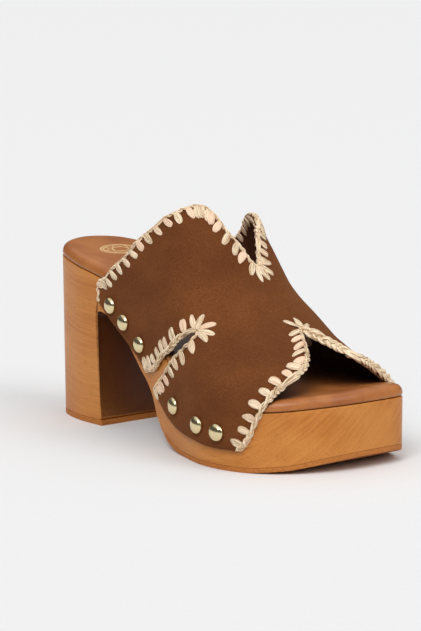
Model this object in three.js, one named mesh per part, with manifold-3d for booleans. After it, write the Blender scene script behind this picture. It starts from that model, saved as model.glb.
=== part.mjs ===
import * as THREE from 'three';
import { mergeVertices } from 'three/addons/utils/BufferGeometryUtils.js';
import Module from 'manifold-3d';

// Platform slipper, right shoe. Millimetres, +X to the toe, +Y to the inner side of the foot, +Z up.
// The origin lies on the ground under the middle of the heel.

// Whole shoe
const SOLE_LENGTH = 229.5; // wood, back of the heel to the tip of the toe, in plan
const BALL_WIDTH = 96; // wood, across the widest place
const HEEL_HEIGHT = 91.7; // wood top above the ground at the back of the heel
const PLATFORM_HEIGHT = 31.2; // wood top above the ground under the ball of the foot
const TOE_SPRING = 7.5; // rise of the underside at the tip of the toe
const HEEL_BACK_SHARE = 0.1176; // of the sole length that lies behind the origin
const FIT_GAP = 0.3; // between neighbouring pieces

// Heel block
const HEEL_FOOT_LENGTH = 54; // on the ground, back to breast
const HEEL_RAKE = 2.5; // the back of the heel comes in by this much down to the ground
const BREAST_LEAN = 5; // the breast stands this much further forward at the ground
const TOP_PIECE_THICKNESS = 3;

// Rubber outsole under the forefoot
const OUTSOLE_THICKNESS = 2.4;
const OUTSOLE_START_SHARE = 0.54; // of the sole length, from the back

// Padded insole
const INSOLE_THICKNESS = 6.4;
const INSOLE_ROLL = 4.6; // round of its upper edge, inwards
const INSOLE_FOOT_ROUND = 1.2; // round of its lower edge

// Upper
const UPPER_WALL = 2;
const INSTEP_RISE = 76; // ridge of the upper above the wood at the rear lobes
const SPRING_RISE = 4; // the arch starts this far above the wood
const FULLNESS_OUTER = 1.98; // exponent of the arch on each side: 2 is an ellipse, more is fuller
const FULLNESS_INNER = 2.2;
const WALL_START = 0.8; // share of the way from ridge to lower edge where the side stands upright

// Dome nails
const DOME_DIAMETER = 9.3;
const DOME_HEIGHT = 3.1;
const DOME_RIM = 0.4;
const SHANK_DIAMETER = 2;
const SHANK_IN_WOOD = 10;

// How finely the bodies are faceted
const SOLE_STATIONS = 46;
const PROFILE_STATIONS = 64;
const ROLL_STEPS = 5;
const REAR_COLUMNS = 8;
const FRONT_COLUMNS = 16;
const NAIL_SIDES = 14;
const DOME_STEPS = 4;

// Plan outline of the wood, from the back of the heel round the outer side, the toe and the inner side.
// at: share of the sole length; across: share of the ball width, the inner side positive.
const PLAN = [
  { at: 0, across: 0 },
  { at: 0.0349, across: -0.2135 },
  { at: 0.1351, across: -0.3073 },
  { at: 0.2919, across: -0.3281 },
  { at: 0.4662, across: -0.375 },
  { at: 0.6187, across: -0.4688 },
  { at: 0.7407, across: -0.5365 },
  { at: 0.8497, across: -0.4896 },
  { at: 0.9325, across: -0.3333 },
  { at: 0.9869, across: -0.1042 },
  { at: 1, across: 0.125 },
  { at: 0.989, across: 0.345 },
  { at: 0.922, across: 0.448 },
  { at: 0.7756, across: 0.4635 },
  { at: 0.6231, across: 0.401 },
  { at: 0.4662, across: 0.3229 },
  { at: 0.2919, across: 0.3073 },
  { at: 0.1351, across: 0.3104 },
  { at: 0.0349, across: 0.2135 },
];

// Top of the wood. rise: share of the way from platform height to heel height; spring: share of the toe spring.
const TOP_LINE = [
  { at: 0, rise: 1, spring: 0 },
  { at: 0.1176, rise: 0.93, spring: 0 },
  { at: 0.2484, rise: 0.84, spring: 0 },
  { at: 0.3355, rise: 0.699, spring: 0 },
  { at: 0.4227, rise: 0.517, spring: 0 },
  { at: 0.5098, rise: 0.336, spring: 0 },
  { at: 0.5969, rise: 0.17, spring: 0 },
  { at: 0.6841, rise: 0.046, spring: 0 },
  { at: 0.7712, rise: 0, spring: 0 },
  { at: 0.8802, rise: 0, spring: 0 },
  { at: 1, rise: 0, spring: 0.45 },
];

// Underside from the breast to the toe. high: share of the height of the wood top at that place;
// spring: share of the toe spring.
const UNDER_LINE = [
  { at: 0.2, high: 0.77, spring: 0 },
  { at: 0.2614, high: 0.779, spring: 0 },
  { at: 0.3133, high: 0.766, spring: 0 },
  { at: 0.3521, high: 0.719, spring: 0 },
  { at: 0.3917, high: 0.647, spring: 0 },
  { at: 0.4174, high: 0.59, spring: 0 },
  { at: 0.444, high: 0.54, spring: 0 },
  { at: 0.468, high: 0.461, spring: 0 },
  { at: 0.4932, high: 0.291, spring: 0 },
  { at: 0.5224, high: 0.168, spring: 0 },
  { at: 0.5673, high: 0.06, spring: 0 },
  { at: 0.644, high: 0, spring: 0 },
  { at: 0.8366, high: 0, spring: 0 },
  { at: 0.9237, high: 0, spring: 0.24 },
  { at: 1, high: 0, spring: 1 },
];

// Upper, along the shoe. ridge: height above the wood as a share of the instep rise;
// middle: sideways place of the ridge as a share of the ball width; low: its lower edge as a share of
// the height of the wood top.
const UPPER_LINE = [
  { at: 0.2048, ridge: 1.72, middle: 0.021, low: 0.87 },
  { at: 0.2527, ridge: 1.61, middle: 0.029, low: 0.846 },
  { at: 0.2789, ridge: 1.55, middle: 0.033, low: 0.805 },
  { at: 0.3529, ridge: 1.38, middle: 0.043, low: 0.749 },
  { at: 0.427, ridge: 1.26, middle: 0.05, low: 0.694 },
  { at: 0.5098, ridge: 1.15, middle: 0.056, low: 0.524 },
  { at: 0.5752, ridge: 0.948, middle: 0.065, low: 0.411 },
  { at: 0.6318, ridge: 0.737, middle: 0.07, low: 0.372 },
  { at: 0.7059, ridge: 0.615, middle: 0.053, low: 0.39 },
  { at: 0.7843, ridge: 0.484, middle: 0.033, low: 0.365 },
  { at: 0.8584, ridge: 0.416, middle: 0.039, low: 0.375 },
  { at: 0.9368, ridge: 0.352, middle: 0.045, low: 0.4 },
  { at: 1, ridge: 0.292, middle: 0.05, low: 0.41 },
];

// Edges of the upper. drop: share of the way from the ridge down to the lower edge; the other columns are
// shares of the sole length: the rear edge on the outer and inner side, and the front edge of both.
const UPPER_EDGES = [
  { drop: 0, rearOuter: 0.6316, rearInner: 0.6316, front: 0.789 },
  { drop: 0.035, rearOuter: 0.6206, rearInner: 0.6205, front: 0.804 },
  { drop: 0.07, rearOuter: 0.5985, rearInner: 0.6067, front: 0.8235 },
  { drop: 0.11, rearOuter: 0.5815, rearInner: 0.594, front: 0.8505 },
  { drop: 0.16, rearOuter: 0.5485, rearInner: 0.5785, front: 0.8795 },
  { drop: 0.21, rearOuter: 0.53, rearInner: 0.565, front: 0.8998 },
  { drop: 0.27, rearOuter: 0.5162, rearInner: 0.5496, front: 0.9136 },
  { drop: 0.34, rearOuter: 0.4975, rearInner: 0.5261, front: 0.922 },
  { drop: 0.42, rearOuter: 0.4709, rearInner: 0.4933, front: 0.924 },
  { drop: 0.5, rearOuter: 0.4433, rearInner: 0.4546, front: 0.9225 },
  { drop: 0.6, rearOuter: 0.3983, rearInner: 0.4056, front: 0.9165 },
  { drop: 0.69, rearOuter: 0.3571, rearInner: 0.3596, front: 0.909 },
  { drop: 0.76, rearOuter: 0.3088, rearInner: 0.316, front: 0.9015 },
  { drop: 0.8, rearOuter: 0.2852, rearInner: 0.29, front: 0.8955 },
  { drop: 0.87, rearOuter: 0.254, rearInner: 0.256, front: 0.882 },
  { drop: 0.94, rearOuter: 0.253, rearInner: 0.254, front: 0.8665 },
  { drop: 0.975, rearOuter: 0.253, rearInner: 0.2535, front: 0.854 },
  { drop: 1, rearOuter: 0.253, rearInner: 0.253, front: 0.841 },
];

// Leaf-shaped slits between the rear and the front strap. down: share of the way from the tip of the slit
// to the lower edge; the other columns are shares of the sole length.
const SLIT_TIP = { outer: 0.47, inner: 0.58 }; // drop of the tips
const SLITS = [
  { down: 0, outerRear: 0.662, outerFront: 0.662, innerRear: 0.6495, innerFront: 0.6495 },
  { down: 0.05, outerRear: 0.652, outerFront: 0.6635, innerRear: 0.636, innerFront: 0.6535 },
  { down: 0.14, outerRear: 0.635, outerFront: 0.659, innerRear: 0.616, innerFront: 0.6485 },
  { down: 0.3, outerRear: 0.611, outerFront: 0.642, innerRear: 0.585, innerFront: 0.632 },
  { down: 0.5, outerRear: 0.579, outerFront: 0.61, innerRear: 0.535, innerFront: 0.604 },
  { down: 0.63, outerRear: 0.541, outerFront: 0.584, innerRear: 0.505, innerFront: 0.582 },
  { down: 0.85, outerRear: 0.489, outerFront: 0.53, innerRear: 0.47, innerFront: 0.53 },
  { down: 1, outerRear: 0.446, outerFront: 0.4965, innerRear: 0.445, innerFront: 0.4965 },
];

// Dome nails on each side. high: share of the height of the wood top at that place.
const NAILS = [
  { name: 'rear_1', at: 0.3028, high: 0.896 },
  { name: 'rear_2', at: 0.3595, high: 0.871 },
  { name: 'rear_3', at: 0.4301, high: 0.843 },
  { name: 'front_1', at: 0.61, high: 0.649 },
  { name: 'front_2', at: 0.7264, high: 0.66 },
  { name: 'front_3', at: 0.79, high: 0.63 },
];

// Materials
const FINISH = {
  wood: { color: '#c3803f', roughness: 0.42, metalness: 0 },
  rubber: { color: '#a5703c', roughness: 0.75, metalness: 0 },
  insole: { color: '#8a5732', roughness: 0.45, metalness: 0 },
  suede: { color: '#7a4a2b', roughness: 0.95, metalness: 0 },
  brass: { color: '#e0b45a', roughness: 0.16, metalness: 1 },
};

const { Manifold, Mesh: BodyMesh } = await openSolids();

async function openSolids() {
  const wasm = await Module();
  wasm.setup();
  return wasm;
}

// A smooth line through one column of a table, without overshoot between its rows.
function lineThrough(rows, key, column) {
  const x = rows.map((row) => row[key]);
  const y = rows.map((row) => row[column]);
  const last = x.length - 1;
  const slope = x.slice(1).map((next, i) => (y[i + 1] - y[i]) / (next - x[i]));
  const tangent = x.map((_, i) => {
    if (i === 0) return slope[0];
    if (i === last) return slope[last - 1];
    const before = slope[i - 1];
    const after = slope[i];
    return before * after <= 0 ? 0 : (2 * before * after) / (before + after);
  });
  return (at) => {
    const inside = Math.min(Math.max(at, x[0]), x[last]);
    const i = Math.min(Math.max(x.findIndex((next) => next > inside) - 1, 0), last - 1);
    const step = x[i + 1] - x[i];
    const w = inside >= x[last] ? 0 : (inside - x[i]) / step;
    if (inside >= x[last]) return y[last];
    const bend = tangent[i] * step;
    const turn = tangent[i + 1] * step;
    const rise = y[i + 1] - y[i];
    return y[i] + w * (bend + w * (3 * rise - 2 * bend - turn + w * (bend + turn - 2 * rise)));
  };
}

const xAt = (share) => (share - HEEL_BACK_SHARE) * SOLE_LENGTH;
const shareAt = (x) => x / SOLE_LENGTH + HEEL_BACK_SHARE;

// The plan outline as two rows of places, one along each side, and the sideways place of an edge.
const outlineCurve = new THREE.CatmullRomCurve3(
  PLAN.map(({ at, across }) => new THREE.Vector3(xAt(at), across * BALL_WIDTH, 0)),
  true,
);
const outlinePoints = outlineCurve.getPoints(PLAN.length * 40).slice(0, -1);
const furthest = (sign) =>
  outlinePoints.reduce((best, point, i) => (sign * point.x > sign * outlinePoints[best].x ? i : best), 0);
const backIndex = furthest(-1);
const toeIndex = furthest(1);
const backX = outlinePoints[backIndex].x;
const toeX = outlinePoints[toeIndex].x;

function sideRow(step) {
  const row = [];
  const count = outlinePoints.length;
  for (let i = backIndex; i !== toeIndex; i = (i + step + count) % count) row.push(outlinePoints[i]);
  row.push(outlinePoints[toeIndex]);
  return row;
}
const SIDES = {
  outer: { sign: -1, row: sideRow(1), fullness: FULLNESS_OUTER },
  inner: { sign: 1, row: sideRow(-1), fullness: FULLNESS_INNER },
};

function edgeY(x, side) {
  const { row } = SIDES[side];
  const next = Math.min(Math.max(row.findIndex((point) => point.x > x), 1), row.length - 1);
  const from = row[next - 1];
  const to = row[next];
  const w = Math.min(Math.max((x - from.x) / (to.x - from.x || 1), 0), 1);
  return from.y + (to.y - from.y) * w;
}

// Slope of the outline, and the outline stood off by a clearance square to itself.
const SLOPE_SPAN = 2;
const edgeSlope = (x, side) => (edgeY(x + SLOPE_SPAN, side) - edgeY(x - SLOPE_SPAN, side)) / (2 * SLOPE_SPAN);
const stoodOffY = (x, side, off) =>
  edgeY(x, side) + SIDES[side].sign * off * Math.hypot(1, edgeSlope(x, side));

// Heights along the shoe
const topRise = lineThrough(TOP_LINE, 'at', 'rise');
const topSpring = lineThrough(TOP_LINE, 'at', 'spring');
const underHigh = lineThrough(UNDER_LINE, 'at', 'high');
const underSpring = lineThrough(UNDER_LINE, 'at', 'spring');

function woodTop(x) {
  const at = shareAt(x);
  return PLATFORM_HEIGHT + (HEEL_HEIGHT - PLATFORM_HEIGHT) * topRise(at) + TOE_SPRING * topSpring(at);
}
function underside(x) {
  const at = shareAt(x);
  return woodTop(x) * underHigh(at) + TOE_SPRING * underSpring(at);
}

// Line a clearance above the wood top, square to it
const topSlope = (x) => (woodTop(x + SLOPE_SPAN) - woodTop(x - SLOPE_SPAN)) / (2 * SLOPE_SPAN);
const aboveWood = (x, off) => woodTop(x) + off * Math.hypot(1, topSlope(x));

// Solid from a closed three.js geometry
function solid(geometry) {
  const bare = new THREE.BufferGeometry();
  bare.setAttribute('position', geometry.getAttribute('position'));
  if (geometry.index) bare.setIndex(geometry.index);
  const merged = mergeVertices(bare, 1e-4);
  const kept = [];
  const index = merged.index.array;
  for (let i = 0; i < index.length; i += 3) {
    const [a, b, c] = [index[i], index[i + 1], index[i + 2]];
    if (a !== b && b !== c && c !== a) kept.push(a, b, c);
  }
  return new Manifold(
    new BodyMesh({
      numProp: 3,
      vertProperties: new Float32Array(merged.attributes.position.array),
      triVerts: new Uint32Array(kept),
    }),
  );
}

function named(name, body, finish) {
  const { vertProperties, triVerts } = body.getMesh();
  const geometry = new THREE.BufferGeometry();
  geometry.setAttribute('position', new THREE.BufferAttribute(new Float32Array(vertProperties), 3));
  geometry.setIndex(new THREE.BufferAttribute(new Uint32Array(triVerts), 1));
  geometry.computeVertexNormals();
  const mesh = new THREE.Mesh(geometry, new THREE.MeshStandardMaterial(FINISH[finish]));
  mesh.name = name;
  return mesh;
}

function closedBody(points, faces) {
  const geometry = new THREE.BufferGeometry();
  geometry.setAttribute('position', new THREE.Float32BufferAttribute(points.flatMap((p) => p.toArray()), 3));
  geometry.setIndex(faces.flat());
  return solid(geometry);
}

// Places along the shoe, closer together at its two ends
const stations = Array.from(
  { length: SOLE_STATIONS + 1 },
  (_, i) => backX + ((toeX - backX) * (1 - Math.cos((Math.PI * i) / SOLE_STATIONS))) / 2,
);

// Upright block over the plan outline, its heel raked in towards the ground
function planBlock() {
  const outer = stations.map((x) => new THREE.Vector2(x, edgeY(x, 'outer')));
  const inner = stations.slice(1, -1).map((x) => new THREE.Vector2(x, edgeY(x, 'inner')));
  const above = HEEL_HEIGHT * 2;
  const block = new THREE.ExtrudeGeometry(new THREE.Shape([...outer, ...inner.reverse()]), {
    depth: above,
    bevelEnabled: false,
  });
  const place = block.getAttribute('position');
  for (let i = 0; i < place.count; i += 1) {
    const x = place.getX(i);
    const low = 1 - place.getZ(i) / HEEL_HEIGHT;
    place.setX(i, x + (Math.max(0, -x) / -backX) * HEEL_RAKE * low);
  }
  return solid(block);
}

// Block with a side view, as wide as any shoe needs
function sideBlock(points) {
  const wide = BALL_WIDTH * 2;
  const block = new THREE.ExtrudeGeometry(new THREE.Shape(points.map(([x, z]) => new THREE.Vector2(x, z))), {
    depth: wide,
    bevelEnabled: false,
  });
  return solid(block.rotateX(Math.PI / 2).translate(0, wide / 2, 0));
}

const span = (from, to, count) => Array.from({ length: count + 1 }, (_, i) => from + ((to - from) * i) / count);

const heelFront = backX + HEEL_RAKE + HEEL_FOOT_LENGTH;
const outsoleStart = xAt(OUTSOLE_START_SHARE);
const breastTop = underside(heelFront - BREAST_LEAN);
const breastX = (z) => heelFront - (BREAST_LEAN * z) / breastTop;

// Platform and block heel, carved in one piece
function makeWood() {
  const top = span(backX - 1, toeX + 1, PROFILE_STATIONS).map((x) => [x, woodTop(x)]);
  const rebate = OUTSOLE_THICKNESS + FIT_GAP;
  const forefoot = span(toeX + 1, outsoleStart - FIT_GAP, PROFILE_STATIONS / 2);
  const arch = span(outsoleStart - FIT_GAP, breastX(breastTop), PROFILE_STATIONS / 2);
  const heelBottom = TOP_PIECE_THICKNESS + FIT_GAP;
  return planBlock().intersect(
    sideBlock([
      ...top,
      ...forefoot.map((x) => [x, underside(x) + rebate]),
      ...arch.map((x) => [x, underside(x)]),
      [breastX(heelBottom), heelBottom],
      [backX - 1, heelBottom],
    ]),
  );
}

// Thin rubber sheet under the forefoot, let into the wood
function makeOutsole() {
  const below = span(outsoleStart, toeX + 1, PROFILE_STATIONS / 2);
  const above = [...below].reverse().map((x) => [x, underside(x) + OUTSOLE_THICKNESS]);
  return planBlock().intersect(sideBlock([...below.map((x) => [x, underside(x)]), ...above]));
}

// Rubber piece under the heel
function makeTopPiece() {
  const front = breastX(0);
  return planBlock().intersect(
    sideBlock([
      [backX - 1, 0],
      [front, 0],
      [breastX(TOP_PIECE_THICKNESS), TOP_PIECE_THICKNESS],
      [backX - 1, TOP_PIECE_THICKNESS],
    ]),
  );
}

// Insole: rings of the outline stepped inwards and upwards round its rolled edge
function makeInsole() {
  const outer = stations.map((x) => new THREE.Vector2(x, edgeY(x, 'outer')));
  const inner = stations.slice(1, -1).map((x) => new THREE.Vector2(x, edgeY(x, 'inner')));
  const loop = [...outer, ...inner.reverse()];
  const count = loop.length;
  const rings = [
    { inset: INSOLE_FOOT_ROUND, height: 0 },
    { inset: INSOLE_FOOT_ROUND * 0.3, height: INSOLE_FOOT_ROUND * 0.3 },
    ...span(0, Math.PI / 2, ROLL_STEPS).map((turn) => ({
      inset: INSOLE_ROLL * (1 - Math.cos(turn)),
      height: INSOLE_FOOT_ROUND + (INSOLE_THICKNESS - INSOLE_FOOT_ROUND) * Math.sin(turn),
    })),
  ];
  const points = rings.flatMap(({ inset, height }) =>
    loop.map((place, i) => {
      const along = new THREE.Vector2().subVectors(loop[(i + 1) % count], loop[(i + count - 1) % count]).normalize();
      const x = place.x - along.y * inset;
      const y = place.y + along.x * inset;
      return new THREE.Vector3(x, y, aboveWood(x, FIT_GAP + height));
    }),
  );
  const faces = [];
  for (let ring = 0; ring < rings.length - 1; ring += 1) {
    for (let i = 0; i < count; i += 1) {
      const a = ring * count + i;
      const b = ring * count + ((i + 1) % count);
      faces.push([a, b, b + count], [a, b + count, a + count]);
    }
  }
  const lid = (rings.length - 1) * count;
  for (let i = 0; i < SOLE_STATIONS; i += 1) {
    const across = (k) => (count - k) % count;
    const cap = [i, i + 1, across(i + 1), across(i)];
    for (const [a, b, c] of [[0, 1, 2], [0, 2, 3]]) {
      if (new Set([cap[a], cap[b], cap[c]]).size < 3) continue;
      faces.push([lid + cap[a], lid + cap[b], lid + cap[c]], [cap[a], cap[c], cap[b]]);
    }
  }
  return closedBody(points, faces);
}

// Upper
const ridgeRise = lineThrough(UPPER_LINE, 'at', 'ridge');
const ridgeMiddle = lineThrough(UPPER_LINE, 'at', 'middle');
const lowShare = lineThrough(UPPER_LINE, 'at', 'low');

// Outer face of the upper: turn runs from -1 at the outer lower edge over 0 at the ridge to 1 at the inner one.
function upperFace(x, turn) {
  const side = turn < 0 ? 'outer' : 'inner';
  const drop = Math.abs(turn);
  const at = shareAt(x);
  const middle = ridgeMiddle(at) * BALL_WIDTH;
  const wallY = stoodOffY(x, side, FIT_GAP + UPPER_WALL);
  const spring = woodTop(x) + SPRING_RISE;
  if (drop >= WALL_START) {
    const down = (drop - WALL_START) / (1 - WALL_START);
    return new THREE.Vector3(x, wallY, spring + (woodTop(x) * lowShare(at) - spring) * down);
  }
  const ridge = woodTop(x) + INSTEP_RISE * ridgeRise(at);
  const bend = (1 - drop / WALL_START) * (Math.PI / 2);
  const out = Math.max(Math.cos(bend), 0) ** (2 / SIDES[side].fullness);
  const up = Math.sin(bend) ** (2 / SIDES[side].fullness);
  return new THREE.Vector3(x, middle + (wallY - middle) * out, spring + (ridge - spring) * up);
}

// Outward direction of the outer face
const PROBE_X = 0.5;
const PROBE_TURN = 0.01;
function upperNormal(x, turn) {
  const alongX = new THREE.Vector3().subVectors(upperFace(x + PROBE_X, turn), upperFace(x - PROBE_X, turn));
  const from = Math.max(turn - PROBE_TURN, -1);
  const to = Math.min(turn + PROBE_TURN, 1);
  const alongTurn = new THREE.Vector3().subVectors(upperFace(x, to), upperFace(x, from));
  return alongX.cross(alongTurn).normalize();
}

// Rows of the upper's grid on one side: how far down, and where each edge lies
function upperRows(side) {
  const cap = side === 'outer' ? 'Outer' : 'Inner';
  const tip = SLIT_TIP[side];
  const rear = lineThrough(UPPER_EDGES, 'drop', `rear${cap}`);
  const front = lineThrough(UPPER_EDGES, 'drop', 'front');
  const slitRear = lineThrough(SLITS, 'down', `${side}Rear`);
  const slitFront = lineThrough(SLITS, 'down', `${side}Front`);
  const above = UPPER_EDGES.map(({ drop }) => drop).filter((drop) => drop < tip - 0.03);
  const below = UPPER_EDGES.map(({ drop }) => drop).filter((drop) => drop > tip + 0.07);
  const drops = [...above, tip, tip + (1 - tip) * SLITS[1].down, tip + (1 - tip) * SLITS[2].down, ...below];
  const middle = (UPPER_EDGES[0].rearOuter + UPPER_EDGES[0].front) / 2;
  return drops.map((drop) => {
    const open = drop > tip;
    const down = (drop - tip) / (1 - tip);
    const seam = middle + (slitRear(0) - middle) * (drop / tip);
    return {
      turn: SIDES[side].sign * drop,
      open,
      rear: xAt(rear(drop)),
      slitRear: xAt(open ? slitRear(down) : seam),
      slitFront: xAt(open ? slitFront(down) : seam),
      front: xAt(front(drop)),
    };
  });
}

// One suede band of even wall, open at the collar, the toe and the two slits
function makeUpper() {
  const rows = [...upperRows('outer').reverse(), ...upperRows('inner').slice(1)];
  const outerFace = [];
  const innerFace = [];
  const corner = (x, turn) => {
    const place = upperFace(x, turn);
    outerFace.push(place);
    innerFace.push(place.clone().addScaledVector(upperNormal(x, turn), -UPPER_WALL));
    return outerFace.length - 1;
  };
  const grid = rows.map(({ turn, open, rear, slitRear, slitFront, front }) => {
    const back = span(rear, slitRear, REAR_COLUMNS).map((x) => corner(x, turn));
    const [, ...ahead] = span(slitFront, front, FRONT_COLUMNS);
    const first = open ? corner(slitFront, turn) : back[REAR_COLUMNS];
    return { back, ahead: [first, ...ahead.map((x) => corner(x, turn))] };
  });
  const skin = [];
  const strip = (one, two) => {
    for (let i = 0; i < one.length - 1; i += 1) {
      skin.push([one[i], one[i + 1], two[i + 1]], [one[i], two[i + 1], two[i]]);
    }
  };
  for (let r = 0; r < grid.length - 1; r += 1) {
    strip(grid[r].back, grid[r + 1].back);
    strip(grid[r].ahead, grid[r + 1].ahead);
  }
  return thickened(outerFace, innerFace, skin);
}

// Closes two matching faces round every open edge
function thickened(outerFace, innerFace, skin) {
  const count = outerFace.length;
  const key = (a, b) => `${a},${b}`;
  const directed = new Set(skin.flatMap(([a, b, c]) => [key(a, b), key(b, c), key(c, a)]));
  const rims = skin
    .flatMap(([a, b, c]) => [[a, b], [b, c], [c, a]])
    .filter(([a, b]) => !directed.has(key(b, a)))
    .flatMap(([a, b]) => [[b, a, a + count], [b, a + count, b + count]]);
  const inside = skin.map(([a, b, c]) => [a + count, c + count, b + count]);
  return closedBody([...outerFace, ...innerFace], [...skin, ...inside, ...rims]);
}

// Dome nails: turned bodies that stand square to the side of the wood
function turned(profile) {
  return solid(new THREE.LatheGeometry(profile.map(([r, h]) => new THREE.Vector2(r, h)), NAIL_SIDES));
}
const shankLength = FIT_GAP * 2 + UPPER_WALL + SHANK_IN_WOOD;

function domeNail() {
  const radius = DOME_DIAMETER / 2;
  const rise = DOME_HEIGHT - DOME_RIM;
  const dome = span(0, Math.PI / 2, DOME_STEPS).map((turn) => [
    turn === Math.PI / 2 ? 0 : radius * Math.cos(turn),
    DOME_RIM + rise * Math.sin(turn),
  ]);
  const shank = SHANK_DIAMETER / 2;
  return turned([[0, -shankLength], [shank, -shankLength], [shank, 0], [radius, 0], ...dome]);
}

function nailHole() {
  const radius = SHANK_DIAMETER / 2 + FIT_GAP;
  const deep = shankLength + FIT_GAP;
  return turned([[0, -deep], [radius, -deep], [radius, DOME_HEIGHT], [0, DOME_HEIGHT]]);
}

function nailPlace({ at, high }, side) {
  const x = xAt(at);
  const { sign } = SIDES[side];
  const outward = new THREE.Vector3(-edgeSlope(x, side) * sign, sign, 0).normalize();
  const off = FIT_GAP * 2 + UPPER_WALL;
  const seat = new THREE.Vector3(x, edgeY(x, side), woodTop(x) * high).addScaledVector(outward, off);
  const turn = new THREE.Quaternion().setFromUnitVectors(new THREE.Vector3(0, 1, 0), outward);
  return new THREE.Matrix4().compose(seat, turn, new THREE.Vector3(1, 1, 1)).toArray();
}

const nails = Object.keys(SIDES).flatMap((side) =>
  NAILS.map((nail) => ({ name: `nail_${side}_${nail.name}`, place: nailPlace(nail, side) })),
);
const holes = Manifold.union(nails.map(({ place }) => nailHole().transform(place)));

const shoe = new THREE.Group();
shoe.name = 'platform_slipper';
shoe.add(named('wood_sole', makeWood().subtract(holes), 'wood'));
shoe.add(named('forefoot_outsole', makeOutsole(), 'rubber'));
shoe.add(named('heel_top_piece', makeTopPiece(), 'rubber'));
shoe.add(named('insole', makeInsole(), 'insole'));
shoe.add(named('upper', makeUpper().subtract(holes), 'suede'));
nails.forEach(({ name, place }) => shoe.add(named(name, domeNail().transform(place), 'brass')));

export default shoe;
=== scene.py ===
import math
import random

import bmesh
import bpy
import numpy as np
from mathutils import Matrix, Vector
from mathutils.bvhtree import BVHTree


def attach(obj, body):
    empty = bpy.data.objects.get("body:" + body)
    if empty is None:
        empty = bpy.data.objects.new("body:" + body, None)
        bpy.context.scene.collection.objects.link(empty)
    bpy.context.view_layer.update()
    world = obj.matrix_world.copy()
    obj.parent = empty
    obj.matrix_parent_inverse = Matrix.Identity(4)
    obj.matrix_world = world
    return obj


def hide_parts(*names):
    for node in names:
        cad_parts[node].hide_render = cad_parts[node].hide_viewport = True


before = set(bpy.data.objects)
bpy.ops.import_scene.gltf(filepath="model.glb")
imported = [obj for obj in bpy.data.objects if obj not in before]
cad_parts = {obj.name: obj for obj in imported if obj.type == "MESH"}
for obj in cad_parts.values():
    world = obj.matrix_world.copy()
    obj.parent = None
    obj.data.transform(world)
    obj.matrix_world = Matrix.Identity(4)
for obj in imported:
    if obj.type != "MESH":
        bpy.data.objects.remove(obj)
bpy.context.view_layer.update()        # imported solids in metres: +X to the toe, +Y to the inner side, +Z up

# Whole shoe, in metres
SOLE_LENGTH = 0.2295
BALL_WIDTH = 0.096
HEEL_HEIGHT = 0.0917
PLATFORM_HEIGHT = 0.0312
TOE_SPRING = 0.0075
HEEL_BACK_SHARE = 0.1176
FIT_GAP = 0.0003

# Wood and rubber
HEEL_FOOT_LENGTH = 0.054
HEEL_RAKE = 0.0025
BREAST_LEAN = 0.005
BREAST_FILLET = 0.004  # hollow corner between the breast and the arch
BREAST_FOOT_ROUND = 0.0018
TOP_PIECE_THICKNESS = 0.003
OUTSOLE_THICKNESS = 0.0024
OUTSOLE_START_SHARE = 0.54
WOOD_LOW_ROUND = 0.0004
WOOD_HIGH_ROUND = 0.0006
RUBBER_ROUND = 0.0002
SEAM = 0.00004  # what shows of the gap between the wood and the rubber glued under it
HOLLOW_REACH = 0.07  # painted shade: the wood is drawn darker in hollows that face other wood within this distance

# Insole
INSOLE_THICKNESS = 0.0064
INSOLE_ROLL = 0.0046
INSOLE_FOOT_ROUND = 0.0012
INSOLE_CROWN = 0.0007  # the padding stands this much higher along the middle
SHADE_REACH = 0.04  # painted shade: the leather is drawn darker under the upper, which lies within this distance

# Upper
UPPER_WALL = 0.002
INSTEP_RISE = 0.076
SPRING_RISE = 0.004
WALL_START = 0.8
RIM_BULGE = 0.0004

# Dome nails
DOME_DIAMETER = 0.0093
DOME_HEIGHT = 0.0031
DOME_RIM = 0.0004
DIMPLE_DEPTH = 0.0006
DIMPLE_REACH = 0.0075


def table(columns, *rows):
    """A short table with named columns."""
    return dict(zip(columns.split(), np.array(rows, float).T))


# Plan outline of the wood, round the outer side, the toe and the inner side, in shares of length and width
PLAN = table(
    "at across",
    (0, 0), (0.0349, -0.2135), (0.1351, -0.3073), (0.2919, -0.3281), (0.4662, -0.375),
    (0.6187, -0.4688), (0.7407, -0.5365), (0.8497, -0.4896), (0.9325, -0.3333),
    (0.9869, -0.1042), (1, 0.125), (0.989, 0.345), (0.922, 0.448), (0.7756, 0.4635),
    (0.6231, 0.401), (0.4662, 0.3229), (0.2919, 0.3073), (0.1351, 0.3104), (0.0349, 0.2135),
)
# Top of the wood: shares of the way from platform to heel height, and of the toe spring
TOP_LINE = table(
    "at rise spring",
    (0, 1, 0), (0.1176, 0.93, 0), (0.2484, 0.84, 0), (0.3355, 0.699, 0), (0.4227, 0.517, 0),
    (0.5098, 0.336, 0), (0.5969, 0.17, 0), (0.6841, 0.046, 0), (0.7712, 0, 0),
    (0.8802, 0, 0), (1, 0, 0.45),
)
# Underside in front of the breast: share of the height of the wood top there, and of the toe spring
UNDER_LINE = table(
    "at high spring",
    (0.2, 0.77, 0), (0.2614, 0.779, 0), (0.3133, 0.766, 0), (0.3521, 0.719, 0), (0.3917, 0.647, 0),
    (0.4174, 0.59, 0), (0.444, 0.54, 0), (0.468, 0.461, 0), (0.4932, 0.291, 0), (0.5224, 0.168, 0),
    (0.5673, 0.06, 0), (0.644, 0, 0), (0.8366, 0, 0), (0.9237, 0, 0.24), (1, 0, 1),
)
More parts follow.
